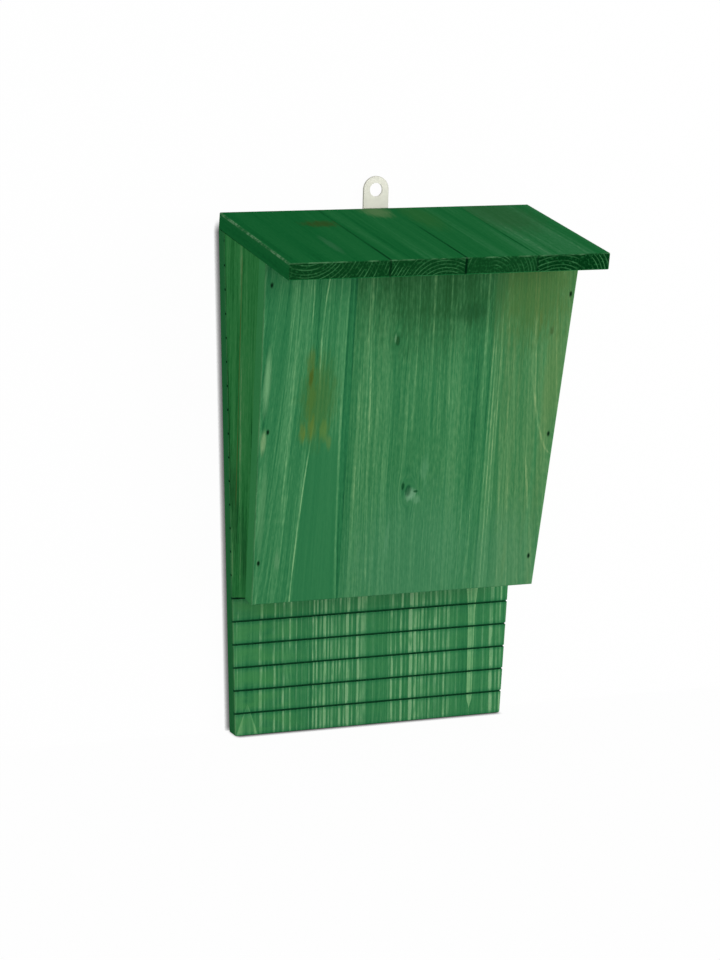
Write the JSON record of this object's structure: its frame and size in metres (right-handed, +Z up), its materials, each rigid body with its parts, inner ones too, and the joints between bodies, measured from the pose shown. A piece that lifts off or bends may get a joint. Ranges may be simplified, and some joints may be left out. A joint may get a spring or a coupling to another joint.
{
  "type": "bat box",
  "caption": "Wall-hung wooden bat box: tapering body with a sloping roof, an open-bottomed roost chamber and a grooved landing board, hung by a steel plate.",
  "frame": {"origin": "middle of the hanging hole, in the plane of the back board's wall side", "axes": "+Z up, +X to the right seen from the front, +Y towards the wall, so the front looks along -Y"},
  "size_m": [0.22, 0.1284, 0.37],
  "materials": {
    "stained_wood": "thin green stain on softwood, satin-matt",
    "plate_steel": "pale zinc-plated sheet",
    "screw_steel": "zinc-plated",
    "nail_steel": "dark bare steel"
  },
  "bodies": {
    "root": {"back_stave_1": "stained_wood", "back_stave_2": "stained_wood", "back_stave_3": "stained_wood", "back_stave_4": "stained_wood", "front_stave_1": "stained_wood", "front_stave_2": "stained_wood", "front_stave_3": "stained_wood", "roof_stave_1": "stained_wood", "roof_stave_2": "stained_wood", "roof_stave_3": "stained_wood", "roof_stave_4": "stained_wood", "left_side": "stained_wood", "right_side": "stained_wood", "hanging_plate": "plate_steel", "hanging_screws": "screw_steel", "front_nails": "nail_steel", "back_nails": "nail_steel"}
  },
  "joints": []
}
